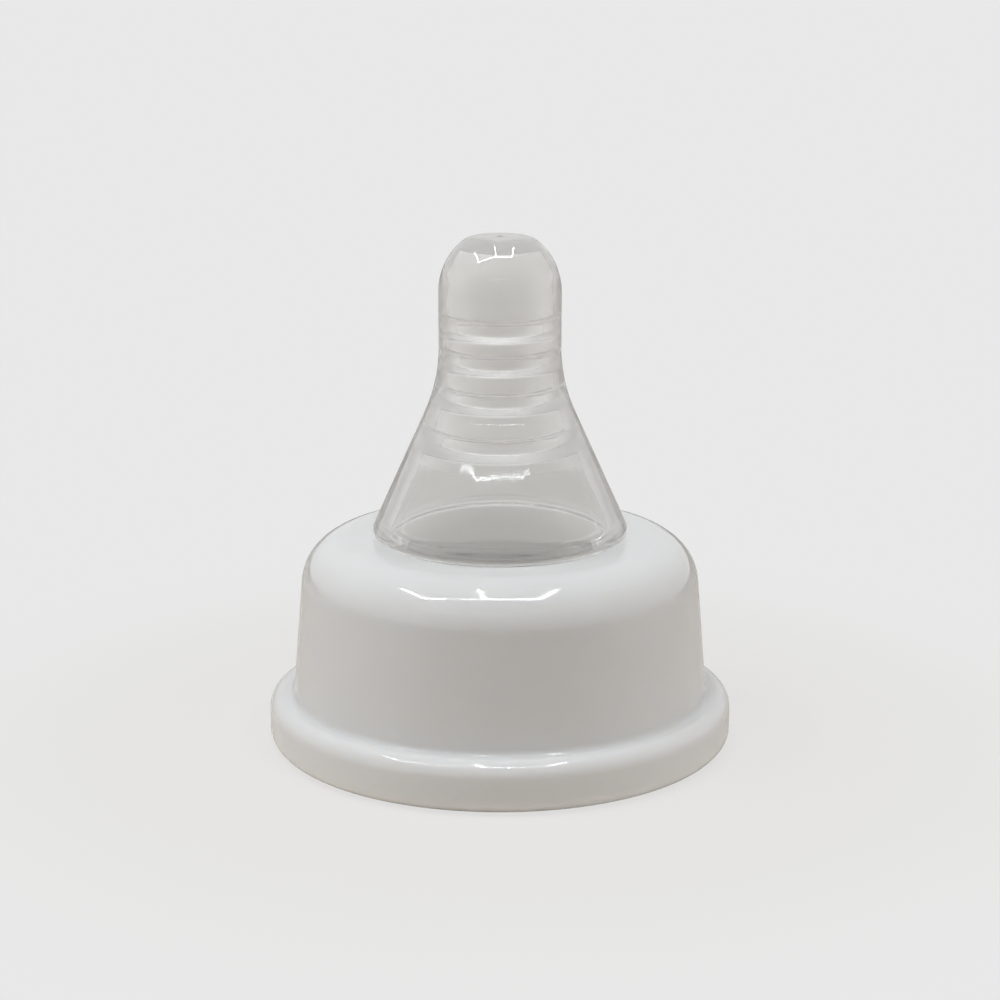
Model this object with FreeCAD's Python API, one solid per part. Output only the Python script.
"""Teat and screw ring of a narrow-neck baby bottle, as two separate solids.

The ring stands on its open mouth with the bottle's axis along +Z. The origin is the centre of the mouth's
rim. The teat snaps into the hole in the ring's top plate and turns there: the plate sits in a groove
between the teat's cone and its flange. The bottle's neck screws into the ring from below.
"""

import FreeCAD
import Part

import math
import os

# Screw ring, thread for the bottle's neck
THREAD_CREST_RADIUS = 19.4
THREAD_HEIGHT = 1.2
THREAD_PITCH = 4.2
THREAD_TURNS = 2.0
THREAD_CREST_WIDTH = 1.0
THREAD_ROOT_WIDTH = 2.2
THREAD_LEAD_IN = 1.4
THREAD_BITE = 0.5
THREAD_GAP_COUNT = 6
THREAD_GAP_WIDTH = 3.0

# Screw ring, inside
PLATE_THICKNESS = 2.0
HOLE_RADIUS = 13.1
HOLE_EDGE_ROUND = 0.4
SEAT_STEP = 0.2
SEAT_LENGTH_BELOW_FLANGE = 1.0
SEAT_CORNER_ROUND = 1.0
SKIRT_STEP = 2.4
SKIRT_DEPTH = 3.4
SKIRT_CHAMFER = 0.8
INNER_EDGE_ROUND = 0.4

# Screw ring, outside
RING_HEIGHT = 23.5
WALL_FOOT_THICKNESS = 2.7
WALL_FOOT_ROUND = 0.7
WALL_DRAFT_DEG = 4.9
SHOULDER_ROUND = 5.3
RIM_LEDGE = 2.7
RIM_HEIGHT = 5.7
RIM_FOOT_ROUND = 1.8
RIM_TOP_ROUND = 1.7

# Teat, where the ring holds it
TURNING_CLEARANCE = 0.1
FLANGE_CLEARANCE = 0.6
FLANGE_THICKNESS = 2.1
FLANGE_EDGE_ROUND = 0.7
GROOVE_ROUND = 0.2
BASE_LEDGE = 0.2
BASE_ROUND = 0.8

# Teat, outside
CONE_HALF_ANGLE_DEG = 24.3
BLEND_RADIUS = 18.0
NECK_RADIUS = 6.74
NECK_LENGTH = 6.0
DOME_RADIUS = 7.2
DOME_TURN_DEG = 48.0
TIP_EDGE_ROUND = 2.8

# Teat, inside
CONE_WALL = 1.85
NECK_WALL = 0.95
TIP_WALL = 1.5
GROOVE_WALL = 1.0
CEILING_STEP = 1.5
CEILING_ROUND = 0.4
TAPER_LENGTH = 2.5
TAPER_ROUND = 3.0
LEDGE_ROUND = 2.0
FEED_HOLE_RADIUS = 0.3

# Teat, rings inside that keep it from collapsing
RIB_COUNT = 4
RIB_DEPTH = 1.1
RIB_DEPTH_GROWTH = 0.15
RIB_CREST_WIDTH = 1.2
RIB_FOOT_WIDTH = 2.4
RIB_PITCH = 3.7
RIB_PITCH_GROWTH = 0.6
TOP_RIB_BELOW_TIP = 9.6
RIB_ROUND = 0.4

# Teat, sealing bead and air vents in the flange
SEAL_INSET = 1.7
SEAL_BEAD_RADIUS = 0.4
VENT_COUNT = 2
VENT_INSET = 3.2
VENT_CUP_RADIUS = 1.1
VENT_MEMBRANE = 0.7
VENT_SLIT_LENGTH = 1.4
VENT_SLIT_WIDTH = 0.12
AIR_CHANNEL_WIDTH = 1.2
AIR_CHANNEL_DEPTH = 0.5

# Ring radii and heights that follow from the sizes above
THREAD_ROOT_RADIUS = THREAD_CREST_RADIUS + THREAD_HEIGHT
SEAT_RADIUS = THREAD_CREST_RADIUS - SEAT_STEP
SKIRT_RADIUS = THREAD_ROOT_RADIUS + SKIRT_STEP
WALL_FOOT_RADIUS = THREAD_ROOT_RADIUS + WALL_FOOT_THICKNESS
RIM_RADIUS = WALL_FOOT_RADIUS + RIM_LEDGE
PLATE_UNDERSIDE = RING_HEIGHT - PLATE_THICKNESS
THREAD_START = SKIRT_DEPTH + SKIRT_CHAMFER + THREAD_LEAD_IN + THREAD_ROOT_WIDTH / 2

# Teat radii and heights that follow from the ring and the sizes above
FLANGE_RADIUS = SEAT_RADIUS - FLANGE_CLEARANCE
FLANGE_TOP = PLATE_UNDERSIDE - TURNING_CLEARANCE
FLANGE_FOOT = FLANGE_TOP - FLANGE_THICKNESS
SEAT_FOOT = FLANGE_FOOT - SEAT_LENGTH_BELOW_FLANGE
SEAL_RADIUS = FLANGE_RADIUS - SEAL_INSET
VENT_PLACE_RADIUS = FLANGE_RADIUS - VENT_INSET
GROOVE_RADIUS = HOLE_RADIUS - TURNING_CLEARANCE
MOUTH_RADIUS = GROOVE_RADIUS - GROOVE_WALL
BORE_RADIUS = NECK_RADIUS - NECK_WALL
BASE_FOOT = RING_HEIGHT + TURNING_CLEARANCE
BASE_RADIUS = GROOVE_RADIUS + GROOVE_ROUND + BASE_LEDGE + BASE_ROUND
CONE_ANGLE = math.radians(CONE_HALF_ANGLE_DEG)
DOME_TURN = math.radians(DOME_TURN_DEG)
BASE_CORNER_RADIUS = BASE_RADIUS - BASE_ROUND + BASE_ROUND * (1 + math.sin(CONE_ANGLE)) / math.cos(CONE_ANGLE)

AXIS = FreeCAD.Vector(0, 0, 1)
ORIGIN = FreeCAD.Vector(0, 0, 0)


def cone_radius(height, inset=0.0):
    """Radius of the teat's straight cone at a height, or of the surface a wall's thickness inside it."""
    return BASE_CORNER_RADIUS - (height - BASE_FOOT) * math.tan(CONE_ANGLE) - inset / math.cos(CONE_ANGLE)


def cone_height(radius, inset=0.0):
    """Height at which that cone has a radius."""
    return BASE_FOOT + (BASE_CORNER_RADIUS - inset / math.cos(CONE_ANGLE) - radius) / math.tan(CONE_ANGLE)


NECK_FOOT = cone_height(NECK_RADIUS) + BLEND_RADIUS * math.tan(CONE_ANGLE / 2)
DOME_FOOT = NECK_FOOT + NECK_LENGTH
TEAT_TOP = DOME_FOOT + DOME_RADIUS * math.sin(DOME_TURN) + TIP_EDGE_ROUND * (1 - math.sin(DOME_TURN))
CEILING = TEAT_TOP - TIP_WALL


def cavity_radius(height):
    """Radius of the teat's plain cavity, without its rings: neck bore, blend arc or cone."""
    blend = BLEND_RADIUS + NECK_WALL
    corner = cone_height(BORE_RADIUS, CONE_WALL)
    reach = blend * math.tan(CONE_ANGLE / 2)
    if height > corner + reach:
        return BORE_RADIUS
    if height > corner - reach * math.cos(CONE_ANGLE):
        return BORE_RADIUS + blend - math.sqrt(blend**2 - (corner + reach - height) ** 2)
    return cone_radius(height, CONE_WALL)


def rounded_outline(corners):
    """Closed wire through (radius, height, rounding) corners, with a tangent arc at each rounded one."""
    points = [FreeCAD.Vector(radius, 0, height) for radius, height, _ in corners]
    starts, ends, arcs = [], [], []
    for i, (_, _, rounding) in enumerate(corners):
        here = points[i]
        back = (points[i - 1] - here).normalize()
        ahead = (points[(i + 1) % len(points)] - here).normalize()
        if rounding == 0:
            starts.append(here)
            ends.append(here)
            arcs.append(None)
            continue
        half_angle = back.getAngle(ahead) / 2
        reach = rounding / math.tan(half_angle)
        inward = (back + ahead).normalize()
        middle = here + inward * (rounding / math.sin(half_angle) - rounding)
        starts.append(here + back * reach)
        ends.append(here + ahead * reach)
        arcs.append(Part.Arc(starts[-1], middle, ends[-1]).toShape())
    edges = []
    for i, arc in enumerate(arcs):
        if (starts[i] - ends[i - 1]).Length > 1e-6:
            edges.append(Part.LineSegment(ends[i - 1], starts[i]).toShape())
        if arc:
            edges.append(arc)
    return Part.Wire(edges)


def turned(corners):
    """Solid of revolution about the bottle's axis."""
    return Part.Face(rounded_outline(corners)).revolve(ORIGIN, AXIS, 360)


def make_ring_shell():
    """Ring without its thread: rim, drafted wall, round shoulder, top plate with the teat's hole, and bore."""
    top_corner = WALL_FOOT_RADIUS - (RING_HEIGHT - RIM_HEIGHT) * math.tan(math.radians(WALL_DRAFT_DEG))
    return turned(
        [
            (SKIRT_RADIUS, 0, INNER_EDGE_ROUND),
            (RIM_RADIUS, 0, RIM_FOOT_ROUND),
            (RIM_RADIUS, RIM_HEIGHT, RIM_TOP_ROUND),
            (WALL_FOOT_RADIUS, RIM_HEIGHT, WALL_FOOT_ROUND),
            (top_corner, RING_HEIGHT, SHOULDER_ROUND),
            (HOLE_RADIUS, RING_HEIGHT, HOLE_EDGE_ROUND),
            (HOLE_RADIUS, PLATE_UNDERSIDE, HOLE_EDGE_ROUND),
            (SEAT_RADIUS, PLATE_UNDERSIDE, SEAT_CORNER_ROUND),
            (SEAT_RADIUS, SEAT_FOOT, 0),
            (THREAD_ROOT_RADIUS, SEAT_FOOT - THREAD_HEIGHT - SEAT_STEP, 0),
            (THREAD_ROOT_RADIUS, SKIRT_DEPTH + SKIRT_CHAMFER, 0),
            (SKIRT_RADIUS, SKIRT_DEPTH, 0),
        ]
    )


def make_thread_ridge():
    """Helical ridge inside the ring, its crest on a true cylinder, with upright gaps that let air in."""
    path = Part.makeHelix(THREAD_PITCH, THREAD_PITCH * THREAD_TURNS, THREAD_ROOT_RADIUS)
    flank = (THREAD_ROOT_WIDTH - THREAD_CREST_WIDTH) / 2 / THREAD_HEIGHT
    outer = THREAD_ROOT_RADIUS + THREAD_BITE
    inner = THREAD_CREST_RADIUS - THREAD_BITE
    outer_half = THREAD_ROOT_WIDTH / 2 + flank * THREAD_BITE
    inner_half = THREAD_CREST_WIDTH / 2 - flank * THREAD_BITE
    section = Part.makePolygon(
        [
            FreeCAD.Vector(outer, 0, -outer_half),
            FreeCAD.Vector(outer, 0, outer_half),
            FreeCAD.Vector(inner, 0, inner_half),
            FreeCAD.Vector(inner, 0, -inner_half),
            FreeCAD.Vector(outer, 0, -outer_half),
        ]
    )
    ridge = Part.Wire(path).makePipeShell([section], True, True)
    ridge.translate(FreeCAD.Vector(0, 0, THREAD_START))
    cuts = [Part.makeCylinder(THREAD_CREST_RADIUS, RING_HEIGHT)]
    for i in range(THREAD_GAP_COUNT):
        gap = Part.makeBox(RIM_RADIUS, THREAD_GAP_WIDTH, RING_HEIGHT, FreeCAD.Vector(0, -THREAD_GAP_WIDTH / 2, 0))
        gap.rotate(ORIGIN, AXIS, i * 360 / THREAD_GAP_COUNT)
        cuts.append(gap)
    return ridge.cut(cuts)


def make_screw_ring():
    return make_ring_shell().fuse(make_thread_ridge().Solids)


def make_teat_outside():
    """Teat as if it were solid: flange, groove, cone, neck and dome."""
    dome_corner = DOME_FOOT + DOME_RADIUS * math.tan(DOME_TURN / 2)
    tip_corner_radius = NECK_RADIUS - (TEAT_TOP - dome_corner) * math.tan(DOME_TURN)
    return turned(
        [
            (0, FLANGE_FOOT, 0),
            (FLANGE_RADIUS, FLANGE_FOOT, FLANGE_EDGE_ROUND),
            (FLANGE_RADIUS, FLANGE_TOP, FLANGE_EDGE_ROUND),
            (GROOVE_RADIUS, FLANGE_TOP, GROOVE_ROUND),
            (GROOVE_RADIUS, BASE_FOOT, GROOVE_ROUND),
            (BASE_CORNER_RADIUS, BASE_FOOT, BASE_ROUND),
            (NECK_RADIUS, cone_height(NECK_RADIUS), BLEND_RADIUS),
            (NECK_RADIUS, dome_corner, DOME_RADIUS),
            (tip_corner_radius, TEAT_TOP, TIP_EDGE_ROUND),
            (0, TEAT_TOP, 0),
        ]
    )


def rib_corners(i):
    """Outline of one ring, counted from the tip, from its lower foot over its crest to its upper foot."""
    middle = TEAT_TOP - TOP_RIB_BELOW_TIP - i * RIB_PITCH - i * (i - 1) / 2 * RIB_PITCH_GROWTH
    depth = RIB_DEPTH + i * RIB_DEPTH_GROWTH
    corners = []
    for width, inwards in ((-RIB_FOOT_WIDTH, 0), (-RIB_CREST_WIDTH, depth), (RIB_CREST_WIDTH, depth), (RIB_FOOT_WIDTH, 0)):
        height = middle + width / 2
        corners.append((cavity_radius(height) - inwards, height, RIB_ROUND))
    return corners


def make_cavity():
    """Hollow of the teat: mouth, cone and neck bore with rings that stand in from the wall, and tapered end."""
    corners = [
        (0, FLANGE_FOOT, 0),
        (MOUTH_RADIUS, FLANGE_FOOT, 0),
        (MOUTH_RADIUS, cone_height(MOUTH_RADIUS, CONE_WALL), LEDGE_ROUND),
    ]
    for i in reversed(range(RIB_COUNT)):
        corners += rib_corners(i)
    corners += [
        (BORE_RADIUS, CEILING - TAPER_LENGTH, TAPER_ROUND),
        (BORE_RADIUS - CEILING_STEP, CEILING, CEILING_ROUND),
        (0, CEILING, 0),
    ]
    return turned(corners)


def make_vent_cuts():
    """Air vents: a cup in the flange's top with a slit through its thin floor, and a channel out to the rim."""
    slit_foot = FLANGE_FOOT - SEAL_BEAD_RADIUS
    cup_floor = FLANGE_FOOT + VENT_MEMBRANE
    channel_floor = FLANGE_TOP - AIR_CHANNEL_DEPTH
    place = FreeCAD.Vector(VENT_PLACE_RADIUS, 0, 0)
    cup = Part.makeCylinder(VENT_CUP_RADIUS, FLANGE_TOP - cup_floor, place + AXIS * cup_floor)
    slit_corner = place + FreeCAD.Vector(-VENT_SLIT_WIDTH / 2, -VENT_SLIT_LENGTH / 2, slit_foot)
    slit = Part.makeBox(VENT_SLIT_WIDTH, VENT_SLIT_LENGTH, FLANGE_TOP - slit_foot, slit_corner)
    channel_corner = place + FreeCAD.Vector(0, -AIR_CHANNEL_WIDTH / 2, channel_floor)
    channel = Part.makeBox(VENT_INSET, AIR_CHANNEL_WIDTH, AIR_CHANNEL_DEPTH, channel_corner)
    cuts = []
    for i in range(VENT_COUNT):
        vent = cup.fuse([slit, channel])
        vent.rotate(ORIGIN, AXIS, i * 360 / VENT_COUNT)
        cuts.append(vent)
    return cuts


def make_teat():
    seal_bead = Part.makeTorus(SEAL_RADIUS, SEAL_BEAD_RADIUS, FreeCAD.Vector(0, 0, FLANGE_FOOT))
    feed_hole = Part.makeCylinder(FEED_HOLE_RADIUS, TIP_WALL * 2, FreeCAD.Vector(0, 0, CEILING - TIP_WALL / 2))
    teat = make_teat_outside().fuse(seal_bead).cut(make_cavity())
    return teat.cut([feed_hole] + make_vent_cuts())


def export(node, shape):
    print(node, "solids", len(shape.Solids), "valid", shape.isValid(), "volume", round(shape.Volume, 1))
    shape.exportStep("parts/" + node + ".step")


os.makedirs("parts", exist_ok=True)
screw_ring = make_screw_ring()
teat = make_teat()
export("screw_ring", screw_ring)
export("teat", teat)
print("overlap of ring and teat", round(screw_ring.common(teat).Volume, 4), "teat top", round(TEAT_TOP, 2))
